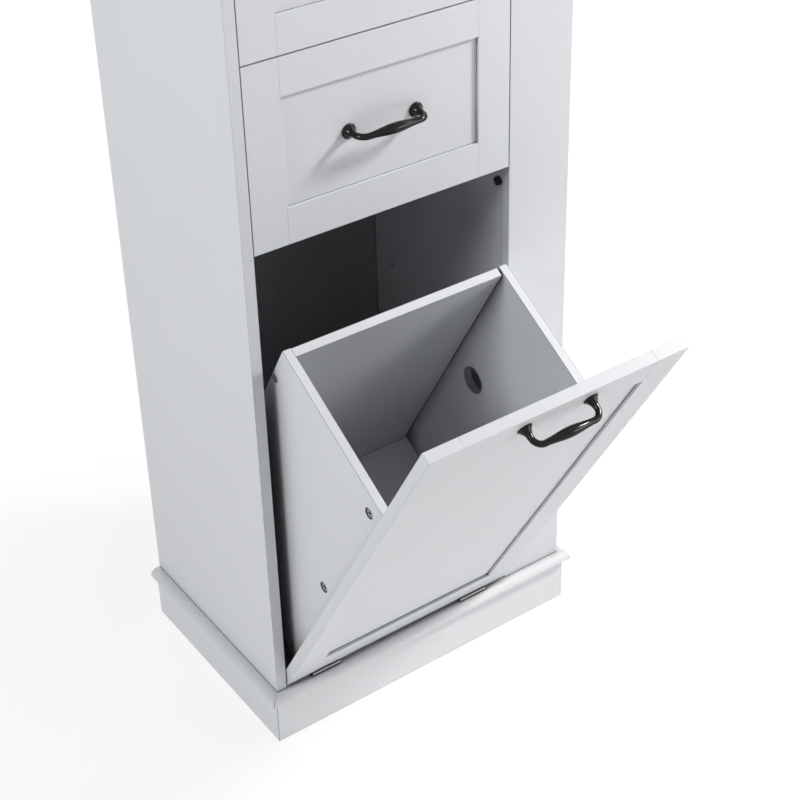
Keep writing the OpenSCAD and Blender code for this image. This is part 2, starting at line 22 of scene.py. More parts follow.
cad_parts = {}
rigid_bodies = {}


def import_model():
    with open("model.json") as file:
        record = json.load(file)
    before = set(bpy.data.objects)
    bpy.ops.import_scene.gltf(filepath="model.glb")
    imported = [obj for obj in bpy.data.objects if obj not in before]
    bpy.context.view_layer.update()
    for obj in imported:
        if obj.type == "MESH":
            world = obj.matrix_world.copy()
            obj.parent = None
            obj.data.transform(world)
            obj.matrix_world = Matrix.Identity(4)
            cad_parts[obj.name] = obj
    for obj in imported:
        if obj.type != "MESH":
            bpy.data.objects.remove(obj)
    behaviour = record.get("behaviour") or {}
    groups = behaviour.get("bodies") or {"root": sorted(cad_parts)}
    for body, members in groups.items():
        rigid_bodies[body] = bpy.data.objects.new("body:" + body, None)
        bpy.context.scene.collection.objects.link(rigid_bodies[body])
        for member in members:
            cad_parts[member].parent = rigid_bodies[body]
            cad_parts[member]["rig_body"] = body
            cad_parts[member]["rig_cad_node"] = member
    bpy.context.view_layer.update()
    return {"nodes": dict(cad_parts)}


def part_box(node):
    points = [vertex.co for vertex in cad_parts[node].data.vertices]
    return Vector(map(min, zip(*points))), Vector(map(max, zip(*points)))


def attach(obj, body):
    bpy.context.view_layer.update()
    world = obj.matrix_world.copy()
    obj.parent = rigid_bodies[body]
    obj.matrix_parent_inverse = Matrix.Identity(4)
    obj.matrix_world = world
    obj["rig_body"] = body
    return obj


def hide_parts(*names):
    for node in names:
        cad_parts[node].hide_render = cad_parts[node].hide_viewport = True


log = logging.getLogger("laundry_cabinet")

Triple = tuple[float, float, float]
Dress = tuple[str, bpy.types.Material]
Socket = bpy.types.NodeSocket
Sockets = bpy.types.bpy_prop_collection

NEAR = 1e-5
FRONT_MID = -0.0415
DOOR_LOW = 0.087


class Axis(Enum):
    """The cabinet's three directions."""

    WIDTH = Vector((1.0, 0.0, 0.0))
    DEPTH = Vector((0.0, 1.0, 0.0))
    HEIGHT = Vector((0.0, 0.0, 1.0))


class Lay(Enum):
    """The way the roller streaks of a painted board run, as the turn that brings that way upright."""

    UPRIGHT = (0.0, 0.0, 0.0)
    ACROSS = (0.0, 90.0, 0.0)
    DEEP = (90.0, 0.0, 0.0)
    LEANING = (-30.5, 0.0, 0.0)


class Part(Enum):
    """What can be picked of a mesh, with the places or ways that a test of it gets."""

    VERT = ("verts", lambda vert: (vert.co,))
    EDGE = ("edges", lambda edge: (edge.verts[0].co, edge.verts[1].co))
    FACE = ("faces", lambda face: (face.calc_center_median(), face.normal))


# ---- The bench: one piece at a time, shaped with Blender's own operators


def clear_bench() -> None:
    """Leaves edit mode and selects nothing."""
    if bpy.context.object is not None and bpy.context.object.mode != "OBJECT":
        bpy.ops.object.mode_set(mode="OBJECT")
    bpy.ops.object.select_all(action="DESELECT")


class Piece:
    """One mesh piece on the bench."""

    loose_gap = 2e-6
    double_gap = 1e-6
    flat_turn = math.radians(0.3)
    sharp_turn = math.radians(28.0)
    level_share = 0.99
    bore_lean = 0.3
    bore_areas = (2e-6, 1.2e-4)

    def __init__(self, obj: bpy.types.Object, name: str) -> None:
        """Takes a new object and names it and its mesh."""
        self.obj = obj
        obj.name = obj.data.name = name

    # -- starts

    @classmethod
    def start(cls, name: str, add: Callable[..., object], **sizes: object) -> Piece:
        """Starts from one of Blender's own shapes, with its place in its mesh.

        Args:
            name: The piece's name.
            add: The operator that adds the shape.
            **sizes: The operator's settings by name.

        Returns:
            The new piece.
        """
        clear_bench()
        add(**sizes)
        return cls(bpy.context.object, name).settle()

    @classmethod
    def block(cls, name: str, low: Vector, high: Vector) -> Piece:
        """Starts from a block between its lowest and its highest corner."""
        return cls.start(name, bpy.ops.mesh.primitive_cube_add, size=1.0, location=(low + high) / 2, scale=high - low)

    @classmethod
    def ring(cls, name: str, centre: Vector, radius: float, sides: int) -> Piece:
        """Starts from an open ring of edges that stands square to the width."""
        sizes = {"radius": radius, "vertices": sides, "rotation": (0.0, math.pi / 2, 0.0)}
        return cls.start(name, bpy.ops.mesh.primitive_circle_add, location=centre, **sizes)

    @classmethod
    def disc(cls, name: str, radius: float, thick: float, sides: int, foot: float | None = None) -> Piece:
        """Starts from an upright round slug, its top at height 0, with a foot as wide or of its own radius."""
        sizes = {"radius1": radius if foot is None else foot, "radius2": radius, "depth": thick, "vertices": sides}
        return cls.start(name, bpy.ops.mesh.primitive_cone_add, location=(0.0, 0.0, -thick / 2), **sizes)

    @classmethod
    def from_node(cls, name: str, node: bpy.types.Object) -> Piece:
        """Starts from a copy of a CAD node, with its loose triangles merged and its flat faces made whole.

        Args:
            name: The piece's name.
            node: The CAD node's object, which isn't changed.

        Returns:
            The new piece.
        """
        clear_bench()
        node.select_set(True)
        bpy.context.view_layer.objects.active = node
        bpy.ops.object.duplicate(linked=False)
        piece = cls(bpy.context.object, name)
        piece.obj.parent = None
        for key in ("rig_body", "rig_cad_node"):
            if key in piece.obj:
                del piece.obj[key]
        piece.obj.data.materials.clear()
        piece.pick_all()
        bpy.ops.mesh.remove_doubles(threshold=cls.loose_gap)
        bpy.ops.mesh.dissolve_limited(angle_limit=cls.flat_turn)
        clear_bench()
        return piece

    # -- picking

    def activate(self) -> None:
        """Makes this the only selected object."""
        clear_bench()
        self.obj.select_set(True)
        bpy.context.view_layer.objects.active = self.obj

    def edit(self, part: Part) -> None:
        """Enters edit mode.

        Args:
            part: What is picked there.
        """
        if bpy.context.object is not self.obj or self.obj.mode != "EDIT":
            self.activate()
            bpy.ops.object.mode_set(mode="EDIT")
        bpy.ops.mesh.select_mode(type=part.name)

    def pick(self, part: Part, wanted: Callable[..., bool]) -> None:
        """Selects the points, edges or faces that pass a test, in edit mode.

        Args:
            part: What is picked.
            wanted: The test of a point's place, an edge's two ends, or a face's middle and normal.
        """
        self.edit(part)
        mesh = bmesh.from_edit_mesh(self.obj.data)
        kind, measures = part.value
        chosen = [found for found in getattr(mesh, kind) if wanted(*measures(found))]
        for found in getattr(mesh, kind):
            found.select_set(False)
        for found in chosen:
            found.select_set(True)
        mesh.select_flush_mode()
        bmesh.update_edit_mesh(self.obj.data)

    def pick_all(self) -> None:
        """Selects the whole piece, in edit mode."""
        self.edit(Part.VERT)
        bpy.ops.mesh.select_all(action="SELECT")

    def pick_level(self, way: float = 1.0) -> None:
        """Selects the faces that look straight up, or down for a way of -1."""
        self.pick(Part.FACE, lambda middle, normal: normal.z * way > self.level_share)

    # -- shaping

    def extrude(self, step: Iterable[float], grow: float = 1.0) -> Piece:
        """Extrudes what is selected and then grows or shrinks it about its own middle.

        Args:
            step: The way and distance.
            grow: The factor of its new size.

        Returns:
            This piece.
        """
        bpy.ops.mesh.extrude_region_move(TRANSFORM_OT_translate={"value": tuple(step)})
        if grow != 1.0:
            bpy.ops.transform.resize(value=(grow, grow, grow))
        return self

    def rise(self, high: float, grow: float = 1.0) -> Piece:
        """Extrudes what is selected straight up, or down by a height below 0, and then grows it."""
        return self.extrude((0.0, 0.0, high), grow)

    def bisect(self, through: Vector, normal: Vector) -> None:
        """Saws the whole piece and keeps what lies behind the cut, closed with a flat face."""
        self.pick_all()
        bpy.ops.mesh.bisect(plane_co=through, plane_no=normal, use_fill=True, clear_outer=True)

    def modifier(self, kind: str, **settings: object) -> Piece:
        """Adds a modifier and applies it at once.

        Args:
            kind: The modifier's type.
            **settings: Its settings by name.

        Returns:
            This piece.
        """
        self.activate()
        added = self.obj.modifiers.new(kind.title(), kind)
        for key, value in settings.items():
            setattr(added, key, value)
        bpy.ops.object.modifier_apply(modifier=added.name)
        return self

    def ease(self, width: float, segments: int = 3) -> Piece:
        """Rounds every sharp edge over a width, in a number of steps."""
        sizes = {"width": width, "segments": segments, "angle_limit": self.sharp_turn}
        return self.modifier("BEVEL", limit_method="ANGLE", miter_outer="MITER_ARC", **sizes)

    def outward(self) -> Piece:
        """Merges doubles and turns every face outwards.

        Returns:
            This piece.
        """
        self.pick_all()
        bpy.ops.mesh.remove_doubles(threshold=self.double_gap)
        bpy.ops.mesh.normals_make_consistent(inside=False)
        return self

    def drilled(self, axis: Vector, material: bpy.types.Material) -> None:
        """Gives the walls of the holes drilled along an axis a darker finish of their own: painted shade inside the
        holes.

        Args:
            axis: The way the holes run.
            material: Their darker finish, which paints that shade.
        """
        mesh = self.obj.data
        mesh.materials.append(material)
        least, most = self.bore_areas
        for face in mesh.polygons:
            if abs(face.normal.dot(axis)) < self.bore_lean and least < face.area < most:
                face.material_index = len(mesh.materials) - 1

    def smooth(self, angle: float = 35.0) -> Piece:
        """Shades gentle edges smooth, with flat faces kept flat.

        Args:
            angle: The edges left sharp turn by more than this, in degrees.

        Returns:
            This piece.
        """
        self.activate()
        bpy.ops.object.shade_smooth_by_angle(angle=math.radians(angle))
        return self.modifier("WEIGHTED_NORMAL", keep_sharp=True, weight=60)

    # -- placing

    def settle(self) -> Piece:
        """Brings the object's place into its mesh, so that the object is at the origin, unturned.

        Returns:
            This piece.
        """
        self.activate()
        bpy.ops.object.transform_apply(location=True, rotation=True, scale=True)
        return self

    def moved(self, place: Matrix) -> Piece:
        """Moves the piece by a matrix that goes into its mesh."""
        self.obj.matrix_world = place @ self.obj.matrix_world
        return self.settle()

    def copy(self, name: str) -> Piece:
        """Copies the piece under a new name, with a mesh of its own.

        Args:
            name: The copy's name.

        Returns:
            The copy.
        """
        self.activate()
        bpy.ops.object.duplicate(linked=False)
        return Piece(bpy.context.object, name)

    def drop(self) -> None:
        """Removes the piece, such as a cutter, or a pattern that has been copied."""
        clear_bench()
        bpy.data.objects.remove(self.obj)

    def fit(self, body: str, dress: Dress, *nodes: str) -> Piece:
        """Fits the finished piece: its dress, the body it rides on and the CAD nodes it stands for.

        Args:
            body: The CAD body that carries it.
            dress: The record's material slot, and the material.
            *nodes: The CAD nodes that it replaces.

        Returns:
            This piece.
        """
        clear_bench()
        slot, material = dress
        self.obj.data.materials.clear()
        self.obj.data.materials.append(material)
        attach(self.obj, body)
        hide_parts(*nodes)
        log.info("%s: %d faces, rides on %s", self.obj.name, len(self.obj.data.polygons), body)
        return self


def facing(at: Iterable[float], way: Vector) -> Matrix:
    """The move of a piece made upright: the middle of its top goes to a place, and its top faces a way."""
    return Matrix.Translation(Vector(at)) @ Axis.HEIGHT.value.rotation_difference(way).to_matrix().to_4x4()


# ---- Shader effects


class NodeBench:
    """Adds shader nodes to one tree. What a node is fed is a number, a list of them or a socket."""

    shut_gain = 1.8
    darkest = 0.88

    def __init__(self, tree: bpy.types.NodeTree) -> None:
        """Takes the tree to fill."""
        self.tree = tree

    def feed(self, node: bpy.types.Node, feeds: dict[object, object]) -> None:
        """Sets or links a node's inputs.

        Args:
            node: The node.
            feeds: What each input gets, by its name or number.
        """
        for key, value in feeds.items():
            if isinstance(value, Socket):
                self.tree.links.new(value, node.inputs[key])
            else:
                node.inputs[key].default_value = value

    def add(self, kind: str, feeds: dict[object, object], **settings: object) -> Sockets:
        """Adds a node.

        Args:
            kind: The node's type, without its ShaderNode prefix.
            feeds: What each input gets, by its name or number.
            **settings: Its settings by name.

        Returns:
            Its outputs.
        """
        node = self.tree.nodes.new("ShaderNode" + kind)
        for key, value in settings.items():
            setattr(node, key, value)
        self.feed(node, feeds)
        return node.outputs

    def math(self, operation: str, *values: object) -> Socket:
        """The result of Math nodes that work two or more values off in their order."""
        return reduce(lambda first, second: self.add("Math", {0: first, 1: second}, operation=operation)[0], values)

    def noise(self, vector: Socket, scale: object, detail: float = 2.0) -> Socket:
        """The value of a noise, around 0.5, of a given fineness and number of octaves."""
        return self.add("TexNoise", {"Vector": vector, "Scale": scale, "Detail": detail})["Fac"]

    def stretched(self, vector: Socket, scale: Triple) -> Socket:
        """A vector times three factors, so that a pattern is drawn out one way."""
        return self.add("VectorMath", {0: vector, 1: scale}, operation="MULTIPLY")["Vector"]

    def swing(self, value: Socket, amount: object) -> Socket:
        """A noise turned into a swing about 0 of a given amount."""
        return self.math("MULTIPLY", self.math("SUBTRACT", value, 0.5), amount)

    def closeness(self, reach: object, inward: bool, rest: float, gain: object) -> Socket:
        """How near a spot lies to a corner: 0 on plain faces and about the gain in the corner.

        Args:
            reach: How far from the corner it starts.
            inward: True for the outer corners of the piece itself.
            rest: What is taken off first, so that plain faces stay at 0.
            gain: What the rest is multiplied by.

        Returns:
            The value's socket.
        """
        near = self.add("AmbientOcclusion", {"Distance": reach}, samples=8, inside=inward, only_local=inward)
        shut = self.math("MULTIPLY", self.math("SUBTRACT", 1.0, near["AO"]), self.shut_gain)
        return self.math("MULTIPLY", self.math("MAXIMUM", self.math("SUBTRACT", shut, rest), 0.0), gain)

    def clean(self, *darks: Socket) -> Socket:
        """The share of a colour that the deepest of several painted shades leaves."""
        return self.math("SUBTRACT", 1.0, self.math("MINIMUM", self.math("MAXIMUM", *darks), self.darkest))


class EffectGroup:
    """A shader effect that several finishes share, built once.

    It takes a vector, a base colour, a roughness and its own strengths. It gives a colour, a roughness and a
    normal.
    """

    name = "effect"
    strengths: tuple[str, ...] = ()
    bump_high = 0.0001

    def tree(self) -> bpy.types.NodeTree:
        """The group's tree, made at the first call.

        Returns:
            The node group.
        """
        made = bpy.data.node_groups.get(self.name)
        if made is not None:
            return made
        made = bpy.data.node_groups.new(self.name, "ShaderNodeTree")
        colour, vector, value = "NodeSocketColor", "NodeSocketVector", "NodeSocketFloat"
        takes = {"Vector": vector, "Base": colour, "Roughness": value} | dict.fromkeys(self.strengths, value)
        gives = {"Color": colour, "Roughness": value, "Normal": vector}
        for way, sockets in (("INPUT", takes), ("OUTPUT", gives)):
            for name, kind in sockets.items():
                made.interface.new_socket(name=name, in_out=way, socket_type=kind)
        bench = NodeBench(made)
        given, end = made.nodes.new("NodeGroupInput").outputs, made.nodes.new("NodeGroupOutput")
        factor, rough, strength, height = self.drawn(bench, given)
        bump = {"Distance": self.bump_high, "Strength": strength, "Height": height}
        out = {
            "Color": bench.add("VectorMath", {0: given["Base"], "Scale": factor}, operation="SCALE")["Vector"],
            "Roughness": bench.math("ADD", given["Roughness"], rough),
            "Normal": bench.add("Bump", bump)["Normal"],
        }
        bench.feed(end, out)
        return made

    def drawn(self, bench: NodeBench, given: Sockets) -> tuple[Socket, Socket, Socket, Socket]:
        """Draws the effect.

        Args:
            bench: The group's bench.
            given: The sockets that come in.

        Returns:
            The factor of the base colour, what is added to the roughness, and the bump's strength and height.
        """
        raise NotImplementedError


class RolledPaint(EffectGroup):
    """Sprayed and rolled paint on board: soft mottle, long faint streaks and a fine orange peel.

    It is painted darker in corners, joints and wide gaps, as painted shade, and in a thin painted dark line along each
    arris.
    """

    name = "rolled_paint"
    strengths = ("Streak", "Mottle", "Peel", "Crease", "Band", "Gap", "Reach")
    bump_high = 0.0002

    def drawn(self, bench: NodeBench, given: Sockets) -> tuple[Socket, Socket, Socket, Socket]:
        """Draws streaks, mottle, peel, painted shade in corners, joints and gaps, and dark arris lines.

        Args:
            bench: The group's bench.
            given: The sockets that come in.

        Returns:
            The colour's factor, the roughness added, and the bump's strength and height.
        """
        vector = given["Vector"]
        streak = bench.noise(bench.stretched(vector, (340.0, 340.0, 7.0)), 1.0, 3.0)
        broad = bench.noise(bench.stretched(vector, (60.0, 60.0, 2.0)), 1.0)
        mottle = bench.noise(vector, 6.0, 3.0)
        streaks = (bench.swing(streak, given["Streak"]), bench.swing(broad, given["Streak"]))
        tone = bench.math("ADD", *streaks, bench.swing(mottle, given["Mottle"]), 1.0)
        # Painted shade: darker in corners and joints, a dark line along each arris, and darker deep in wide gaps.
        corner = bench.math("MULTIPLY", bench.closeness(0.0019, False, 0.35, 2.0), given["Crease"])
        band = bench.closeness(0.0010, True, 0.12, given["Band"])
        gap = bench.closeness(given["Reach"], False, 0.5, given["Gap"])
        factor = bench.math("MULTIPLY", tone, bench.clean(corner, band, gap))
        rough = bench.math("ADD", bench.swing(mottle, 0.12), bench.swing(streak, 0.10))
        height = bench.math("ADD", bench.noise(vector, 900.0), bench.math("MULTIPLY", streak, 0.8))
        return factor, rough, given["Peel"], height


class PlatedMetal(EffectGroup):
    """Plated or cast metal: a fine lay of marks, cloudy tone, small dull spots, and painted shade in corners and along
    the edges.
    """

    name = "plated_metal"
    strengths = ("Marks", "Clouds")
    bump_high = 0.00006

    def drawn(self, bench: NodeBench, given: Sockets) -> tuple[Socket, Socket, Socket, Socket]:
        """Draws marks, clouds, spots and painted shade in corners and along edges.

        Args:
            bench: The group's bench.
            given: The sockets that come in.

        Returns:
            The colour's factor, the roughness added, and the bump's strength and height.
        """
        vector = given["Vector"]
        marks = bench.noise(bench.stretched(vector, (90.0, 2600.0, 2600.0)), 1.0, 3.0)
        clouds = bench.swing(bench.noise(vector, 160.0, 3.0), given["Clouds"])
        spots = bench.noise(vector, 1400.0)
        # Painted shade: darker in corners and along the edges.
        corner_and_edge_shade = (bench.closeness(0.0016, False, 0.2, 1.3), bench.closeness(0.0008, True, 0.25, 1.2))
        tone = bench.math("ADD", clouds, bench.swing(spots, given["Marks"]), 1.0)
        rough = bench.math("ADD", bench.swing(marks, given["Marks"]), clouds)
        return bench.math("MULTIPLY", tone, bench.clean(*corner_and_edge_shade)), rough, given["Marks"], bench.math("ADD", marks, spots)


class DarkCoat(EffectGroup):
    """A dark coat over metal or plastic: fine texture, faint handling marks and a little dust tone."""

    name = "dark_coat"
    strengths = ("Grain", "Grain Size", "Handling")

    def drawn(self, bench: NodeBench, given: Sockets) -> tuple[Socket, Socket, Socket, Socket]:
        """Draws grain and handling marks.

        Args:
            bench: The group's bench.
            given: The sockets that come in.

        Returns:
            The colour's factor, the roughness added, and the bump's strength and height.
        """
        grain = bench.noise(given["Vector"], given["Grain Size"], 3.0)
        handled = bench.noise(given["Vector"], 55.0, 4.0)
        factor = bench.math("ADD", bench.swing(handled, 1.2), bench.swing(grain, 0.6), 1.0)
        rough = bench.math("ADD", bench.swing(handled, given["Handling"]), bench.swing(grain, 0.08))
        return factor, rough, given["Grain"], grain


# ---- Finishes


@dataclass(frozen=True)
class Finish:
    """A finish for one of the record's material slots, which a shared effect varies over the surface."""

    effect = EffectGroup()

    name: str
    slot: str
    colour: Triple
    roughness: float
    turn: Triple = (0.0, 0.0, 0.0)
    metallic: float = 0.0
    specular: float = 0.5

    def laid(self, lay: Lay) -> Finish:
        """The same finish with its streaks run one way."""
        return replace(self, name=f"{self.name}_{lay.name.lower()}", turn=lay.value)

    def material(self) -> bpy.types.Material:
        """The Blender material, made at the first call.

        Returns:
            The material.
        """
        name = f"{self.name}_finish"
        made = bpy.data.materials.get(name)
        if made is not None:
            return made
        made = bpy.data.materials.new(name)
        made.use_nodes = True
        bench = NodeBench(made.node_tree)
        mapping = {"Vector": bench.add("TexCoord", {})["Object"], "Rotation": [math.radians(a) for a in self.turn]}
        vector = bench.add("Mapping", mapping, vector_type="POINT")["Vector"]
        given = {"Vector": vector, "Base": (*self.colour, 1.0), "Roughness": self.roughness}
        for strength in self.effect.strengths:
            given[strength] = getattr(self, strength.lower().replace(" ", "_"))
        drawn = bench.add("Group", given, node_tree=self.effect.tree())
        coat = {"Base Color": drawn["Color"], "Roughness": drawn["Roughness"], "Normal": drawn["Normal"]}
        coat |= {"Metallic": self.metallic, "Specular IOR Level": self.specular}
        bench.feed(made.node_tree.nodes["Principled BSDF"], coat)
        return made


@dataclass(frozen=True)
class PaintedBoard(Finish):
    """Matt paint on board."""

    effect = RolledPaint()

    streak: float = 0.012
    mottle: float = 0.03
    peel: float = 0.12
    # band, crease, gap and reach set the painted shade: arris lines, corners, and deep gaps with their reach.
    band: float = 0.45
    crease: float = 0.95
    gap: float = 0.0
    reach: float = 0.014


@dataclass(frozen=True)
class Plating(Finish):
    """Zinc, nickel or cast metal."""

    effect = PlatedMetal()

    metallic: float = 1.0
    marks: float = 0.12
    clouds: float = 0.12


@dataclass(frozen=True)
class DarkFinish(Finish):
    """Black enamel or moulded black plastic."""

    effect = DarkCoat()

    grain: float = 0.1
    grain_size: float = 900.0
    handling: float = 0.1


PAINT_PALE = (0.622, 0.632, 0.653)
FRONT_PALE = (0.637, 0.648, 0.669)
# The door's paint is a darker copy of the front paint: painted shade.
DOOR_SHADED_PALE = (0.610, 0.621, 0.641)
# A lighter copy of the carcass paint for the front plinth and moulding: painted light.
PLINTH_LIT_PALE = (0.70, 0.708, 0.724)
# The back board's dark grey is painted shade for the deep bay.
BACK_SHADE_GREY = (0.27, 0.275, 0.285)
# Dark grey for the walls of drilled holes: painted shade inside the holes.
BORE_SHADE_GREY = (0.22, 0.225, 0.24)
BOX_WHITE = (0.69, 0.69, 0.685)
ENAMEL_BLACK = (0.003, 0.003, 0.0035)
PLASTIC_BLACK = (0.010, 0.010, 0.011)


class Coating(Enum):
    """Every finish of the cabinet, by what it is used on."""

    BOARD = PaintedBoard("carcass_paint", "carcass_paint", PAINT_PALE, 0.5)
    # The hamper sides get darker arris lines and painted shade deep in the gap beside the hamper.
    HAMPER_SIDE = PaintedBoard("hamper_paint", "carcass_paint", PAINT_PALE, 0.5, band=1.2, gap=1.1, reach=0.045)
    # The front plinth and its moulding take a lighter copy of the carcass paint: painted light.
    PLINTH = PaintedBoard("plinth_paint", "carcass_paint", PLINTH_LIT_PALE, 0.5)
    # The moulding gets painted shadow where the door's lower edge comes near.
    MOULDING = PaintedBoard("moulding_paint", "carcass_paint", PLINTH_LIT_PALE, 0.5, gap=1.1)
    FRONT = PaintedBoard("front_paint", "front_paint", FRONT_PALE, 0.46, streak=0.018, band=0.28)
    FRONT_FRAME = replace(FRONT, name="front_frame_paint", crease=0.0)
    # The door takes a darker copy of the front paint as painted shade, and deeper painted shade in its recess corners.
    DOOR = PaintedBoard("door_paint", "front_paint", DOOR_SHADED_PALE, 0.46, streak=0.018, band=0.34, crease=2.0)
    # The back board's dark grey is painted shade for the deep bay, not the board's own colour.
    BACK = PaintedBoard("back_board_paint", "back_board", BACK_SHADE_GREY, 0.6, streak=0.08, mottle=0.10, peel=0.25)
    # The dark grey on the walls of drilled holes is painted shade inside the holes.
    CORE = PaintedBoard("bare_core", "carcass_paint", BORE_SHADE_GREY, 0.75, streak=0.04, mottle=0.20, peel=0.5)
    BOX = PaintedBoard("drawer_board", "drawer_board", BOX_WHITE, 0.38, streak=0.10)
    RUNNER = Plating("runner_zinc", "runner_zinc", (0.56, 0.57, 0.59), 0.34, turn=(0.0, 0.0, 90.0), marks=0.22)
    HINGE = Plating("hinge_steel", "hinge_steel", (0.26, 0.26, 0.27), 0.34, marks=0.14, clouds=0.10)
    CAM = Plating("cam_zinc", "cam_zinc", (0.34, 0.345, 0.36), 0.42, marks=0.30, clouds=0.18)
    SCREW = Plating("screw_zinc", "screw_zinc", (0.36, 0.365, 0.38), 0.34, marks=0.18)
    HANDLE = replace(
        DarkFinish("handle_black", "handle_black", ENAMEL_BLACK, 0.10, specular=0.25),
        grain=0.02,
        grain_size=1500.0,
        handling=0.06,
    )
    PEG = DarkFinish("peg_black", "peg_black", PLASTIC_BLACK, 0.42, specular=0.3, grain=0.30, grain_size=2200.0)

    def dress(self, lay: Lay | None = None) -> Dress:
        """Its slot and material, with the streaks of a painted board run one way."""
        finish = self.value if lay is None else self.value.laid(lay)
        return finish.slot, finish.material()


# ---- Where pieces go


@dataclass(frozen=True)
class LeanAxis:
    """The line of the two butt hinges, and how far the door stands out at rest."""

    y: float = -0.0025
    z: float = 0.08685
    degrees: float = 30.5

    def lean(self) -> Matrix:
        """The move from the shut door to the open one.

        Returns:
            The move.
        """
        pivot = Vector((0.0, self.y, self.z))
        turn = Matrix.Rotation(math.radians(self.degrees), 4, "X")
        return Matrix.Translation(pivot) @ turn @ Matrix.Translation(-pivot)


@dataclass(frozen=True)
class Assembly:
    """A sub-assembly that rides on one CAD body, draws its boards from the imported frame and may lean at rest."""

    nodes: dict[str, bpy.types.Object]
    body: str
    lean: Matrix

    def eased(self, node: str, name: str, width: float, coating: Coating, lay: Lay | None = None) -> Piece:
        """Makes a board or plate of a CAD node's shape, with its arrises eased over a width, and fits it."""
        piece = Piece.from_node(name, self.nodes[node]).ease(width).smooth()
        return piece.fit(self.body, coating.dress(lay), node)

    def place(self, pattern: Piece, name: str, place: Matrix, coating: Coating, node: str) -> None:
        """Copies a pattern under a new name to its place, leans it out and fits it for a CAD node."""
        pattern.copy(name).moved(self.lean @ place).fit(self.body, coating.dress(), node)


# ---- Small hardware, each kind modelled once


@dataclass(frozen=True)
class CrossRecess:
    """A cross recess for a screwdriver, narrower at its floor."""

    reach: float
    width: float
    deep: float
    end_taper: float = 0.62
    side_taper: float = 0.8

    def cut_into(self, piece: Piece, top: float) -> None:
        """Cuts the recess.

        Args:
            piece: A piece on the upright axis.
            top: The height of the face that is cut.
        """
        for x, y in ((self.reach, self.width / 2), (self.width / 2, self.reach)):
            low, high = Vector((-x, -y, top - self.deep)), Vector((x, y, top + self.deep))
            cutter = Piece.block("recess_cutter", low, high)
            cutter.pick(Part.VERT, lambda place: place.z < top)
            narrow = (self.end_taper, self.side_taper) if x > y else (self.side_taper, self.end_taper)
            bpy.ops.transform.resize(value=(*narrow, 1.0))
            piece.modifier("BOOLEAN", operation="DIFFERENCE", solver="EXACT", object=cutter.obj)
            cutter.drop()


@dataclass(frozen=True)
class WoodScrew:
    """A countersunk cross-head screw. Its head's face is at height 0 and its shank goes down."""

    head_radius: float
    head_high: float
    shank_radius: float
    length: float
    recess: CrossRecess
    straight: float = 0.82
    tip: float = 0.25
    rim: float = 0.14
    dish: float = 0.05

    def pattern(self, name: str) -> Piece:
        """Models one screw.

        Args:
            name: The pattern's name.

        Returns:
            The pattern, to be copied.
        """
        piece = Piece.disc(name, self.head_radius, self.head_high, 40, foot=self.shank_radius)
        piece.pick_level(-1.0)
        shank = self.length - self.head_high
        piece.rise(-shank * self.straight).rise(-shank * (1.0 - self.straight), self.tip)
        piece.pick_level()
        bpy.ops.mesh.inset(thickness=self.head_radius * self.rim)
        dish = self.head_radius * self.dish
        bpy.ops.transform.translate(value=(0.0, 0.0, -dish))
        self.recess.cut_into(piece, -dish)
        return piece.ease(dish, 2).smooth(30.0)


@dataclass(frozen=True)
class PanScrew:
    """A pan-head machine screw. Its head's underside is at height 0, its shank goes down."""

    head_radius: float = 0.004
    head_high: float = 0.0024
    shank_radius: float = 0.002
    length: float = 0.016
    crown: tuple[tuple[float, float], ...] = ((0.55, 1.0), (0.27, 0.86), (0.18, 0.72))
    recess: CrossRecess = CrossRecess(0.0021, 0.0009, 0.0013)
    arris: float = 0.00012

    def pattern(self, name: str) -> Piece:
        """Models one screw, with a crowned head and a cross recess.

        Args:
            name: The pattern's name.

        Returns:
            The pattern, to be copied.
        """
        piece = Piece.disc(name, self.shank_radius, self.length, 32)
        piece.pick_level()
        piece.rise(0.0, self.head_radius / self.shank_radius)
        for share, grow in self.crown:
            piece.rise(self.head_high * share, grow)
        self.recess.cut_into(piece, self.head_high)
        return piece.ease(self.arris, 2).smooth(40.0)


@dataclass(frozen=True)
class CamLock:
    """A cast cam in its pocket. Its barrel goes down from height 0, with its face sunk a little below."""

    radius: float = 0.0075
    play: float = 0.0011
    thick: float = 0.009
    sunk: float = 0.0012
    rings: tuple[Triple, ...] = ((0.0009, -0.00035, 0.985), (0.0007, 0.00025, 0.97))
    boss_top: float = -0.0001
    recess: CrossRecess = CrossRecess(0.0047, 0.0017, 0.0024)
    arris: float = 0.00012

    def pattern(self, name: str) -> Piece:
        """Models one cam: a rim, a sunk ring, a crowned boss and a cross recess.

        Args:
            name: The pattern's name.

        Returns:
            The pattern, to be copied.
        """
        piece = Piece.disc(name, self.radius - self.play, self.thick - self.sunk, 56)
        piece.pick_level()
        for inset, high, grow in self.rings:
            bpy.ops.mesh.inset(thickness=inset)
            piece.rise(high, grow)
        self.recess.cut_into(piece, self.boss_top)
        return piece.ease(self.arris, 2).smooth(30.0).moved(Matrix.Translation((0.0, 0.0, -self.sunk)))


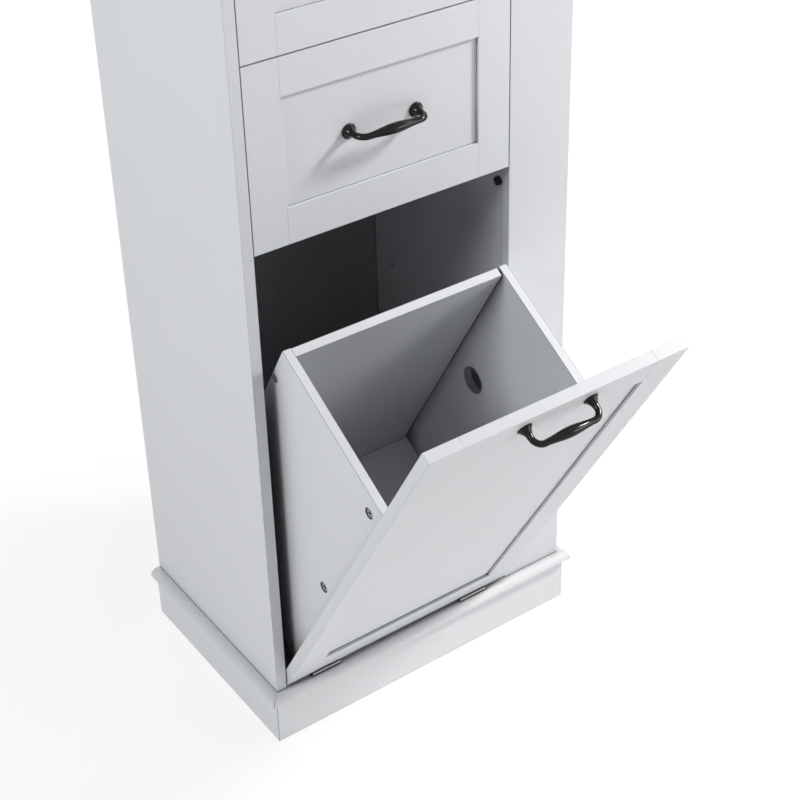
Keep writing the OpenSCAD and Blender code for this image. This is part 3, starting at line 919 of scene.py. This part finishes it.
@dataclass(frozen=True)
class StopPeg:
    """A moulded peg on a spigot. It stands up from the board's face at height 0."""

    radius: float = 0.006
    high: float = 0.012
    spigot_radius: float = 0.0025
    spigot_long: float = 0.008
    screwed: bool = True
    foot_share: float = 0.97
    foot_high: float = 0.08
    crown: tuple[tuple[float, float], ...] = ((0.80, 1.0), (0.09, 0.94), (0.03, 0.86))
    well: float = 0.0016
    well_rim: float = 0.22
    well_floor: float = 0.62
    dent: float = 0.0003
    dent_rim: float = 0.4
    recess: CrossRecess = CrossRecess(0.0013, 0.0006, 0.0012)
    arris: float = 0.0002

    def pattern(self, name: str) -> Piece:
        """Models one peg, with a rounded rim and, where it is screwed on, a dished well for the screw.

        Args:
            name: The pattern's name.

        Returns:
            The pattern, to be copied.
        """
        piece = Piece.disc(name, self.spigot_radius, self.spigot_long, 40)
        piece.pick_level()
        piece.rise(0.0, self.radius / self.spigot_radius * self.foot_share)
        piece.rise(self.high * self.foot_high, 1.0 / self.foot_share)
        for share, grow in self.crown:
            piece.rise(self.high * share, grow)
        if self.screwed:
            bpy.ops.mesh.inset(thickness=self.radius * self.well_rim)
            piece.rise(-self.well, self.well_floor)
            self.recess.cut_into(piece, self.high - self.well)
        else:
            bpy.ops.mesh.inset(thickness=self.radius * self.dent_rim)
            bpy.ops.transform.translate(value=(0.0, 0.0, -self.dent))
        return piece.ease(self.arris, 2).smooth()


@dataclass(frozen=True)
class BowHandle:
    """A cast bow handle with flared feet and a swelling bar, on a face that looks towards -Y."""

    centres: float = 0.096
    standoff: float = 0.0255
    bar_radius: float = 0.0041
    swell_radius: float = 0.0067
    bend_radius: float = 0.012
    foot_radius: float = 0.0096
    foot_high: float = 0.010
    foot_step: float = 0.002
    foot_rim: float = 0.001
    rim_form: tuple[tuple[float, float], ...] = ((0.45, 0.95), (0.12, 0.80), (0.0, 0.60), (0.0, 0.12), (0.12, 0.0))
    lip: float = 0.0003
    flare_bow: float = 1.5
    sides: int = 40
    bar_steps: int = 26
    bend_steps: int = 10
    flare_steps: int = 10

    def bar_width(self, along: float) -> float:
        """The bar's radius at a share of its length, from 0 at one bend to 1 at the other."""
        return self.bar_radius + (self.swell_radius - self.bar_radius) * math.sin(math.pi * along) ** 2

    def pattern(self, name: str) -> Piece:
        """Sweeps one ring from mid bar through the bend and leg to the foot, and mirrors the half.

        Args:
            name: The pattern's name.

        Returns:
            The handle at mid width, on the face at y 0 and height 0.
        """
        half = self.centres / 2 - self.bend_radius
        piece = Piece.ring(name, Vector((0.0, -self.standoff, 0.0)), self.swell_radius, self.sides)
        piece.pick_all()
        width = self.swell_radius
        for step in range(1, self.bar_steps + 1):
            wanted = self.bar_width(0.5 + 0.5 * step / self.bar_steps)
            piece.extrude((half / self.bar_steps, 0.0, 0.0), wanted / width)
            width = wanted
        self.bend_and_leg(piece, half)
        self.foot(piece)
        piece.modifier("MIRROR", use_axis=(True, False, False), use_clip=True, merge_threshold=1e-6)
        return piece.outward().smooth(40.0)

    def bend_and_leg(self, piece: Piece, half: float) -> None:
        """Turns the ring towards the face and runs it down the leg.

        Args:
            piece: The handle, with its last ring selected.
            half: Where the bend starts.
        """
        turn = math.radians(90.0 / self.bend_steps)
        pivot = Vector((half, self.bend_radius - self.standoff, 0.0))
        for _ in range(self.bend_steps):
            piece.extrude((0.0, 0.0, 0.0))
            # With no window the rotate operator turns the other way, hence the minus.
            bpy.ops.transform.rotate(value=-turn, orient_axis="Z", center_override=pivot)
        leg = self.standoff - self.bend_radius - self.foot_high
        piece.extrude((0.0, leg, 0.0), (self.bar_radius + self.lip) / self.bar_radius)

    def foot(self, piece: Piece) -> None:
        """Flares the leg into its foot, rounds the rim and closes the base.

        Args:
            piece: The handle, with its last ring selected.
        """
        radius, place = self.bar_radius + self.lip, -self.foot_high
        neck, flare = radius, self.foot_radius - self.foot_rim - radius
        rings = []
        for step in range(self.flare_steps - 1, -1, -1):
            share = step / self.flare_steps
            level = self.foot_step + (self.foot_high - self.foot_step) * share
            rings.append((neck + flare * (1.0 - share) ** self.flare_bow, -level))
        rings += [(self.foot_radius - self.foot_rim * inset, -self.foot_step * high) for inset, high in self.rim_form]
        for wanted, level in rings:
            piece.extrude((0.0, level - place, 0.0), wanted / radius)
            radius, place = wanted, level
        bpy.ops.mesh.edge_face_add()


@dataclass(frozen=True)
class HandleFixing:
    """A bow handle on one front, with its two screws from behind."""

    name: str
    level: float
    face: float
    rear: float
    centres: float = 0.096

    def fit(self, assembly: Assembly, handle: Piece, screw: Piece) -> None:
        """Copies the patterns to their places.

        Args:
            assembly: The drawer or door that carries the handle.
            handle: The handle's pattern.
            screw: The screw's pattern.
        """
        name = f"{self.name}_handle"
        place = Matrix.Translation((FRONT_MID, self.face, self.level))
        assembly.place(handle, f"{self.name}_bow_handle", place, Coating.HANDLE, name)
        for side, way in (("left", -1.0), ("right", 1.0)):
            at = (FRONT_MID + way * self.centres / 2, self.rear, self.level)
            place = facing(at, Axis.DEPTH.value)
            assembly.place(screw, f"{name}_screw_{side}", place, Coating.SCREW, f"{name}_screws")


# ---- Sub-assemblies


@dataclass(frozen=True)
class Carcass:
    """The fixed box: sides, partition, stile, back, top, floor and the board above the bay."""

    arris: float = 0.0006
    thin_arris: float = 0.0003

    def build(self, assembly: Assembly) -> None:
        """Eases and paints the boards.

        Args:
            assembly: The carcass body.
        """
        for node, name, lay in (
            ("left_side_panel", "left_side_board", Lay.UPRIGHT),
            ("right_side_panel", "right_side_board", Lay.UPRIGHT),
            ("bay_partition", "bay_partition_board", Lay.UPRIGHT),
            ("right_stile", "broad_front_stile", Lay.UPRIGHT),
            ("top_panel", "top_board", Lay.ACROSS),
            ("floor_panel", "bay_floor_board", Lay.ACROSS),
            ("bay_ceiling", "bay_ceiling_board", Lay.ACROSS),
        ):
            assembly.eased(node, name, self.arris, Coating.BOARD, lay)
        assembly.eased("back_panel", "back_board", self.thin_arris, Coating.BACK)


@dataclass(frozen=True)
class Plinth:
    """The plinth boards and the quarter-round cap moulding on them, mitred at the two front corners."""

    arris: float = 0.0006
    round_radius: float = 0.0105
    round_steps: int = 14
    nose_radius: float = 0.003
    nose_steps: int = 6
    trim_arris: float = 0.0004

    def build(self, assembly: Assembly) -> None:
        """Eases the boards and models the three mouldings.

        Args:
            assembly: The carcass body.
        """
        for side, lay, paint, trim in (
            ("front", Lay.ACROSS, Coating.PLINTH, Coating.MOULDING),
            ("left", Lay.DEEP, Coating.BOARD, Coating.BOARD),
            ("right", Lay.DEEP, Coating.BOARD, Coating.BOARD),
        ):
            assembly.eased(f"plinth_{side}", f"plinth_{side}_board", self.arris, paint, lay)
            self.moulding(side).fit(assembly.body, trim.dress(lay), f"cap_moulding_{side}")
        assembly.eased("plinth_back_rail", "plinth_rear_board", self.arris, Coating.BOARD, Lay.ACROSS)

    def moulding(self, side: str) -> Piece:
        """Planes one length of moulding from a square strip and saws its mitres.

        Args:
            side: The side it runs along: front, left or right.

        Returns:
            The moulding, in its place.
        """
        low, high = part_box(f"cap_moulding_{side}")
        piece = Piece.block(f"{side}_cap_moulding", low, high)
        axis, outer, saws = {
            "front": (1, low.y, ((low.x, -1.0, 1.0), (high.x, 1.0, 1.0))),
            "left": (0, low.x, ((low.x, 1.0, -1.0),)),
            "right": (0, high.x, ((high.x, -1.0, -1.0),)),
        }[side]
        for level, radius, steps in (
            (high.z, self.round_radius, self.round_steps),
            (low.z, self.nose_radius, self.nose_steps),
        ):
            edge = (outer, level)
            piece.pick(
                Part.EDGE,
                lambda *ends: all(abs(end[axis] - edge[0]) < NEAR and abs(end.z - edge[1]) < NEAR for end in ends),
            )
            bpy.ops.mesh.bevel(offset=radius, segments=steps, profile=0.5, affect="EDGES")
        for x, across, deep in saws:
            piece.bisect(Vector((x, low.y, 0.0)), Vector((across, deep, 0.0)))
        return piece.outward().ease(self.trim_arris).smooth(30.0)


@dataclass(frozen=True)
class Runners:
    """The outer runner channels on the bay's walls."""

    fold: float = 0.0004

    def build(self, assembly: Assembly) -> None:
        """Eases the folded channels and plates them."""
        for level in ("upper", "lower"):
            assembly.eased(f"{level}_runner_channels", f"{level}_outer_runners", self.fold, Coating.RUNNER)


@dataclass(frozen=True)
class BayPegs:
    """The black pegs on the bay's two walls: a pair for the shut door and a pair for the open hamper."""

    rest_long: float = 0.005
    stop_long: float = 0.012

    def build(self, assembly: Assembly) -> None:
        """Copies a peg to each of the four places.

        Args:
            assembly: The carcass body.
        """
        for node, use, long in (
            ("door_stop_pegs", "door", self.rest_long),
            ("tilt_stop_pegs", "hamper", self.stop_long),
        ):
            peg = StopPeg(high=long)
            pattern = peg.pattern(f"{use}_peg_pattern")
            low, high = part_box(node)
            middle = (low + high) / 2
            for side, face, way in (
                ("left", low.x + peg.spigot_long, 1.0),
                ("right", high.x - peg.spigot_long, -1.0),
            ):
                place = facing((face, middle.y, middle.z), Axis.WIDTH.value * way)
                assembly.place(pattern, f"{use}_stop_peg_{side}", place, Coating.PEG, node)
            pattern.drop()


@dataclass(frozen=True)
class Drawer:
    """One drawer: a framed front with a recessed panel, a box, inner runners and a bow handle."""

    level: str
    front_low: float
    front_high: float = 0.2375
    panel_sunk: float = 0.004
    panel_rear: float = 0.010
    arris: float = 0.0003
    fold: float = 0.0004

    def build(self, assembly: Assembly, handle: Piece, screw: Piece) -> None:
        """Makes the drawer's pieces.

        Args:
            assembly: The drawer's body.
            handle: The handle's pattern.
            screw: The handle screw's pattern.
        """
        name = f"{self.level}_drawer"
        for node, part, coating, lay in (
            ("stiles", "front_stiles", Coating.FRONT_FRAME, Lay.UPRIGHT),
            ("rails", "front_rails", Coating.FRONT_FRAME, Lay.ACROSS),
            ("panel", "front_panel", Coating.FRONT, Lay.UPRIGHT),
            ("side_left", "box_left_side", Coating.BOX, Lay.DEEP),
            ("side_right", "box_right_side", Coating.BOX, Lay.DEEP),
            ("back", "box_back", Coating.BOX, Lay.ACROSS),
            ("bottom", "box_bottom", Coating.BOX, Lay.DEEP),
        ):
            assembly.eased(f"{name}_{node}", f"{name}_{part}", self.arris, coating, lay)
        assembly.eased(f"{name}_runners", f"{name}_inner_runners", self.fold, Coating.RUNNER)
        level = self.front_low + self.front_high / 2
        HandleFixing(name, level, self.panel_sunk, self.panel_rear).fit(assembly, handle, screw)


@dataclass(frozen=True)
class TiltDoor:
    """The framed door on the front of the hamper, with its bow handle on the top rail."""

    high: float = 0.6735
    frame: float = 0.048
    thick: float = 0.015
    arris: float = 0.0003

    def build(self, assembly: Assembly, handle: Piece, screw: Piece) -> None:
        """Makes the door's pieces.

        Args:
            assembly: The hamper's body.
            handle: The handle's pattern.
            screw: The handle screw's pattern.
        """
        for node, name, lay in (
            ("door_stiles", "tilt_door_stiles", Lay.LEANING),
            ("door_rail_top", "tilt_door_top_rail", Lay.ACROSS),
            ("door_rail_bottom", "tilt_door_bottom_rail", Lay.ACROSS),
            ("door_panel", "tilt_door_panel", Lay.LEANING),
        ):
            assembly.eased(node, name, self.arris, Coating.DOOR, lay)
        HandleFixing("door", DOOR_LOW + self.high - self.frame / 2, 0.0, self.thick).fit(assembly, handle, screw)


@dataclass(frozen=True)
class SideHardware:
    """One kind of hardware on both sides of the hamper, in rows above the door's lower edge."""

    kind: CamLock | WoodScrew | StopPeg
    name: str
    node: str
    coating: Coating
    y: float
    levels: tuple[float, ...]
    sunk: float = 0.0
    twist: float = 0.0


@dataclass(frozen=True)
class Hamper:
    """The bin behind the door: two sides, back and bottom, with cam locks, screws and stop studs."""

    left: float = -0.2115
    right: float = 0.1285
    arris: float = 0.0005
    hardware: tuple[SideHardware, ...] = (
        SideHardware(
            CamLock(),
            "cam_lock_{side}_{row}",
            "hamper_cam_locks",
            Coating.CAM,
            y=0.042,
            levels=(0.041, 0.232804, 0.454),
            twist=20.0,
        ),
        SideHardware(
            WoodScrew(0.0054, 0.0035, 0.002, 0.040, CrossRecess(0.0026, 0.0010, 0.0024)),
            "side_screw_{side}_{row}",
            "hamper_back_screws",
            Coating.SCREW,
            y=0.255,
            levels=(0.090, 0.426),
            sunk=0.001,
            twist=30.0,
        ),
        SideHardware(
            StopPeg(0.004, 0.012, 0.002, 0.006, screwed=False),
            "stop_stud_{side}",
            "tilt_stop_studs",
            Coating.PEG,
            y=0.240,
            levels=(0.060,),
        ),
    )

    def build(self, assembly: Assembly) -> None:
        """Makes the boards and their hardware.

        Args:
            assembly: The hamper's body.
        """
        for node, name, coating, lay in (
            ("hamper_side_left", "hamper_left_board", Coating.HAMPER_SIDE, Lay.LEANING),
            ("hamper_side_right", "hamper_right_board", Coating.HAMPER_SIDE, Lay.LEANING),
            ("hamper_back", "hamper_back_board", Coating.BOARD, Lay.LEANING),
            ("hamper_bottom", "hamper_floor_board", Coating.BOARD, Lay.ACROSS),
        ):
            board = assembly.eased(node, name, self.arris, coating, lay)
            # The walls of the side boards' holes are painted dark grey as shade inside the holes.
            if coating is Coating.HAMPER_SIDE:
                board.drilled(Axis.WIDTH.value, Coating.CORE.value.material())
        bolts = assembly.nodes["hamper_cam_bolts"]
        bolts.data.materials.clear()
        bolts.data.materials.append(Coating.CAM.value.material())
        for hardware in self.hardware:
            self.mount(assembly, hardware)

    def mount(self, assembly: Assembly, hardware: SideHardware) -> None:
        """Copies one kind of hardware to its places on both sides.

        Args:
            assembly: The hamper's body.
            hardware: What goes where.
        """
        pattern = hardware.kind.pattern("side_hardware_pattern")
        out = Axis.WIDTH.value
        for side, face, way in (("left", self.left, -out), ("right", self.right, out)):
            for row, level in enumerate(hardware.levels, 1):
                at = Vector((face, hardware.y, DOOR_LOW + level)) - way * hardware.sunk
                place = facing(at, way) @ Matrix.Rotation(math.radians(hardware.twist * row), 4, "Z")
                name = hardware.name.format(side=side, row=row)
                assembly.place(pattern, name, place, hardware.coating, hardware.node)
        pattern.drop()


@dataclass(frozen=True)
class ButtHinges:
    """Two butt hinges under the door's lower edge: leaves, pins and countersunk screws."""

    starts: tuple[float, ...] = (-0.190, 0.062)
    length: float = 0.045
    leaf_thick: float = 0.0012
    leaf_arris: float = 0.00055
    screw_share: float = 0.17
    screw: WoodScrew = WoodScrew(0.0024, 0.0012, 0.0012, 0.009, CrossRecess(0.0012, 0.0005, 0.0008))
    pin_radius: float = 0.0011
    pin_steps: int = 4
    axis: LeanAxis = LeanAxis()

    def build(self, fixed: Assembly, moving: Assembly) -> None:
        """Makes both hinges.

        Args:
            fixed: The carcass body.
            moving: The hamper's body.
        """
        fixed.eased("hinge_lower_leaves", "hinge_fixed_leaves", self.leaf_arris, Coating.HINGE)
        moving.eased("hinge_upper_leaves", "hinge_door_leaves", self.leaf_arris, Coating.HINGE)
        self.pins(fixed)
        self.screws(fixed, moving)

    def pins(self, fixed: Assembly) -> None:
        """Turns a pin with rounded ends for each hinge.

        Args:
            fixed: The carcass body.
        """
        pattern = Piece.disc("pin_pattern", self.pin_radius, self.length, 24)
        pattern.pick(Part.EDGE, lambda one, other: abs(one.z - other.z) < NEAR)
        bpy.ops.mesh.bevel(offset=self.pin_radius / 2, segments=self.pin_steps, affect="EDGES")
        pattern.smooth(40.0)
        for number, start in enumerate(self.starts, 1):
            place = facing((start + self.length, self.axis.y, self.axis.z), Axis.WIDTH.value)
            fixed.place(pattern, f"hinge_pin_{number}", place, Coating.HINGE, "hinge_pins")
        pattern.drop()

    def screws(self, fixed: Assembly, moving: Assembly) -> None:
        """Copies the leaf screws: down into the floor board and up into the door.

        Args:
            fixed: The carcass body.
            moving: The hamper's body.
        """
        pattern = self.screw.pattern("leaf_screw_pattern")
        low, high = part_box("hinge_lower_screws")
        middle = (low.y + high.y) / 2
        for assembly, use, node, level, way in (
            (fixed, "fixed", "hinge_lower_screws", high.z, 1.0),
            (moving, "door", "hinge_upper_screws", DOOR_LOW - self.leaf_thick, -1.0),
        ):
            for number, start in enumerate(self.starts, 1):
                for end, share in (("a", self.screw_share), ("b", 1.0 - self.screw_share)):
                    place = facing((start + self.length * share, middle, level), Vector((0.0, 0.0, way)))
                    assembly.place(pattern, f"{use}_leaf_screw_{number}{end}", place, Coating.SCREW, node)
        pattern.drop()


# ---- Studio


@dataclass(frozen=True)
class SoftLamp:
    """A softbox that looks at the cabinet from a way, at a level that counts a white board as 1."""

    name: str
    way: Triple
    size: float
    level: float
    colour: Triple
    away: float = 3.2

    def add(self, aim: Vector) -> None:
        """Hangs the lamp.

        Args:
            aim: What it looks at.
        """
        way = Vector(self.way).normalized()
        data = bpy.data.lights.new(self.name, "AREA")
        data.shape = "DISK"
        data.size = self.size
        data.energy = self.level * (math.pi * self.away) ** 2
        data.color = self.colour
        lamp = bpy.data.objects.new(self.name, data)
        bpy.context.scene.collection.objects.link(lamp)
        lamp.location = aim + way * self.away
        lamp.rotation_euler = way.to_track_quat("Z", "Y").to_euler()


@dataclass(frozen=True)
class Studio:
    """Floor, lamps, white surround and the camera of the photograph."""

    focal: float = 79.614
    shift: tuple[float, float] = (-0.09525, -0.1135)
    eye: Triple = (-1.0963, -1.5650, 1.8006)
    right: Triple = (0.7959, -0.6054, 0.0)
    up: Triple = (0.3212, 0.4223, 0.8476)
    aim: Triple = (-0.04, -0.05, 0.62)
    floor_size: float = 16.0
    floor_white: tuple[float, float] = (0.74, 0.97)
    floor_fade: tuple[float, float] = (0.45, 1.5)
    floor_glow: float = 0.33
    eye_white: float = 1.06
    lamps: tuple[SoftLamp, ...] = (
        SoftLamp("key_softbox", (1.2, -0.515, 1.0), 0.60, 1.0, (1.0, 0.995, 0.985)),
        SoftLamp("left_softbox", (-0.85, -0.10, 0.52), 1.2, 0.48, (0.97, 0.985, 1.0)),
        SoftLamp("left_rear_softbox", (-0.70, 0.45, 0.55), 1.2, 0.17, (0.97, 0.985, 1.0)),
        SoftLamp("right_softbox", (0.80, -0.90, 0.20), 1.4, 0.26, (0.98, 0.99, 1.0)),
        SoftLamp("rear_softbox", (0.35, 1.0, 0.75), 1.4, 0.22, (0.98, 0.99, 1.0)),
    )

    def build(self) -> None:
        """Sets the whole studio."""
        self.floor()
        self.world()
        for lamp in self.lamps:
            lamp.add(Vector(self.aim))
        self.camera()

    def seen_directly(self, bench: NodeBench) -> Socket:
        """A value of 1 for camera, glossy and transmission rays."""
        path = bench.add("LightPath", {})
        return bench.math("MAXIMUM", path["Is Camera Ray"], path["Is Glossy Ray"], path["Is Transmission Ray"])

    def world(self) -> None:
        """White to the eye, in reflections and through glass, and no light on matt surfaces."""
        made = bpy.data.worlds.new("white_surround")
        bpy.context.scene.world = made
        made.use_nodes = True
        bench = NodeBench(made.node_tree)
        made.node_tree.nodes.clear()
        room = {"Color": (1.0, 1.0, 1.0, 1.0), "Strength": self.seen_directly(bench)}
        bench.add("OutputWorld", {"Surface": bench.add("Background", room)[0]})

    def floor(self) -> None:
        """A plain pale floor that reads white and keeps the cabinet's shadow."""
        grid = {"x_subdivisions": 2, "y_subdivisions": 2, "size": self.floor_size}
        floor = Piece.start("studio_floor", bpy.ops.mesh.primitive_grid_add, **grid)
        made = bpy.data.materials.new("pale_floor")
        made.use_nodes = True
        bench = NodeBench(made.node_tree)
        shader = made.node_tree.nodes["Principled BSDF"]
        bench.feed(shader, {"Base Color": (0.80, 0.80, 0.80, 1.0), "Roughness": 0.9, "Specular IOR Level": 0.1})
        seen = self.seen_directly(bench)
        glow = bench.math("MULTIPLY", bench.math("SUBTRACT", 1.0, seen), self.floor_glow)
        lit = bench.add("AddShader", {0: shader.outputs[0], 1: bench.add("Emission", {"Strength": glow})[0]})[0]
        white = bench.add("Emission", {"Strength": self.eye_white})[0]
        share = bench.math("MULTIPLY", seen, self.whitening(bench))
        both = bench.add("MixShader", {"Fac": share, 1: lit, 2: white})[0]
        bench.feed(made.node_tree.nodes["Material Output"], {"Surface": both})
        floor.obj.data.materials.append(made)

    def whitening(self, bench: NodeBench) -> Socket:
        """How far the floor is lifted to white: less by the cabinet, where its shadow lies, and more away from it.

        Args:
            bench: The floor's bench.

        Returns:
            The share's socket.
        """
        reach = bench.add("VectorMath", {0: bench.add("TexCoord", {})["Object"]}, operation="LENGTH")["Value"]
        (near, far), (least, most) = self.floor_fade, self.floor_white
        fade = {"Value": reach, "From Min": near, "From Max": far, "To Min": least, "To Max": most}
        return bench.add("MapRange", fade)["Result"]

    def camera(self) -> None:
        """Sets the camera of the photograph, solved from the cabinet's straight edges."""
        data = bpy.data.cameras.new("photo_camera")
        data.sensor_fit = "HORIZONTAL"
        data.sensor_width = 36.0
        data.lens = self.focal
        data.shift_x, data.shift_y = self.shift
        data.dof.use_dof = False
        data.clip_start, data.clip_end = 0.05, 60.0
        camera = bpy.data.objects.new("photo_camera", data)
        bpy.context.scene.collection.objects.link(camera)
        right = Vector(self.right).normalized()
        back = right.cross(Vector(self.up).normalized()).normalized()
        turn = Matrix((right, back.cross(right), back)).transposed()
        camera.matrix_world = Matrix.Translation(self.eye) @ turn.to_4x4()
        bpy.context.scene.camera = camera


def main() -> None:
    """Builds the cabinet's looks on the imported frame."""
    logging.basicConfig(level=logging.INFO, format="%(name)s: %(message)s")
    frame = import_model()
    bpy.context.scene.view_settings.view_transform = "Standard"
    nodes, upright = frame["nodes"], Matrix.Identity(4)
    fixed = Assembly(nodes, "carcass", upright)
    moving = Assembly(nodes, "hamper", LeanAxis().lean())
    Studio().build()
    Carcass().build(fixed)
    Plinth().build(fixed)
    Runners().build(fixed)
    BayPegs().build(fixed)
    handle = BowHandle().pattern("handle_pattern")
    screw = PanScrew().pattern("handle_screw_pattern")
    Drawer("lower", 0.7635).build(Assembly(nodes, "drawer_lower", upright), handle, screw)
    Drawer("upper", 1.003).build(Assembly(nodes, "drawer_upper", upright), handle, screw)
    TiltDoor().build(moving, handle, screw)
    handle.drop()
    screw.drop()
    Hamper().build(moving)
    ButtHinges().build(fixed, moving)
    clear_bench()


if __name__ == "__main__":
    main()
